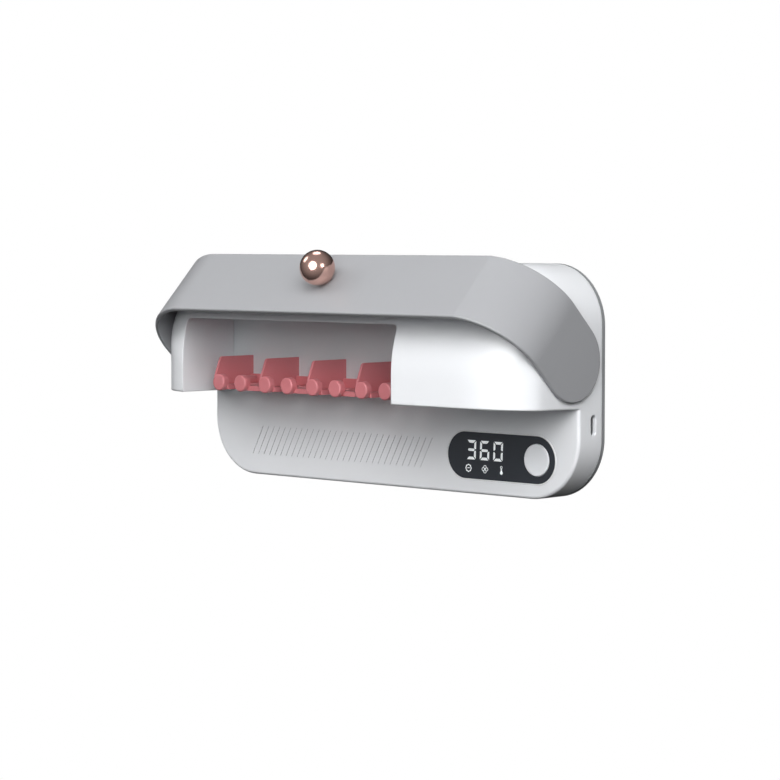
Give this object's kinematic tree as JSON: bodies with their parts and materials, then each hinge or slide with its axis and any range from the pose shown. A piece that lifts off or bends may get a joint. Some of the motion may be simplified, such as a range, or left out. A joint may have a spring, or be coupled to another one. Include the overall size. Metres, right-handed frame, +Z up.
{
  "type": "toothbrush sanitizer",
  "caption": "Wall-mounted toothbrush sanitizer: a flip-up grey cover over a lamp-lit brush chamber with a slotted holder, and a display with a button below.",
  "frame": {"origin": "centre of the case's outline, on the wall face that the adhesive pad bonds to", "axes": "+Z up, the front faces -Y, +Y into the wall, +X to the right of a person who faces the unit"},
  "size_m": [0.2548, 0.0767, 0.1184],
  "materials": {
    "case_white": "satin moulded plastic",
    "case_back": "fine matt texture",
    "liner_grey": "satin moulded plastic",
    "cover_grey": "satin paint",
    "rose_gold": "polished, rose gold plated",
    "steel": "bright",
    "bush_plastic": "self-lubricating acetal",
    "holder_pink": "satin moulded plastic",
    "window_dark": "smoked, glossy",
    "trim_white": "glossy",
    "lit_marks": "lit white",
    "button_silver": "satin",
    "black_plastic": "matt",
    "board_green": "solder-mask green",
    "led_yellow": "clear over ceramic",
    "quartz": "clear",
    "cell_wrap": "foil wrap",
    "foam": "foam",
    "lead_red": "insulated",
    "lead_white": "insulated",
    "duct_white": "heat-proof",
    "heater_metal": "mill finish",
    "bracket_metal": "powder coat"
  },
  "bodies": {
    "wall_mount": {"wall_bracket": "bracket_metal", "adhesive_pad": "foam"},
    "unit": {"rear_cover": "case_back", "rear_gasket": "foam", "case_screws": "steel", "front_housing": "case_white", "chamber_liner": "liner_grey", "uv_window": "quartz", "uv_board": "board_green", "uv_leds": "led_yellow", "uv_screws": "steel", "brush_holder": "holder_pink", "holder_screws": "steel", "hinge_bush_left": "bush_plastic", "hinge_bush_right": "bush_plastic", "friction_washer_left": "steel", "friction_washer_right": "steel", "lid_switch": "black_plastic", "display_window": "window_dark", "display_bezel": "trim_white", "display_digits": "lit_marks", "display_icons": "lit_marks", "display_board": "board_green", "display_module": "black_plastic", "button_switch": "black_plastic", "main_board": "board_green", "board_components": "black_plastic", "board_screws": "steel", "battery_tape": "foam", "battery_pack": "cell_wrap", "battery_lead": "lead_red", "display_lead": "lead_white", "uv_lead": "lead_white", "fan_lead": "lead_red", "usb_port": "steel", "usb_tongue": "black_plastic", "charge_board": "board_green", "air_duct": "duct_white", "heater_core": "heater_metal", "fan_frame": "black_plastic", "intake_filter": "foam"},
    "cover": {"flip_cover": "cover_grey", "cover_knob": "rose_gold", "knob_screw": "steel", "hinge_pin_left": "steel", "hinge_pin_right": "steel", "retaining_clips": "steel", "hinge_cam": "bush_plastic"},
    "button": {"power_button": "button_silver", "switch_plunger": "black_plastic"},
    "fan": {"fan_rotor": "black_plastic", "fan_shaft": "steel"}
  },
  "joints": [
    {"name": "lift_off", "type": "slide", "parent": "wall_mount", "child": "unit", "axis": [0, 0, 1], "range_m": [0, 0.0065]},
    {"name": "cover_hinge", "type": "hinge", "parent": "unit", "child": "cover", "pos_m": [0, -0.0265, 0.0108], "axis": [1, 0, 0], "range_deg": [0, 43.9]},
    {"name": "button_press", "type": "slide", "parent": "unit", "child": "button", "axis": [0, 1, 0], "range_m": [0, 0.0008], "stiffness_N_per_m": 700, "springref_m": -0.0008},
    {"name": "fan_spin", "type": "hinge", "parent": "unit", "child": "fan", "pos_m": [0.069, -0.04, 0.008], "axis": [1, 0, 0], "continuous": true}
  ]
}
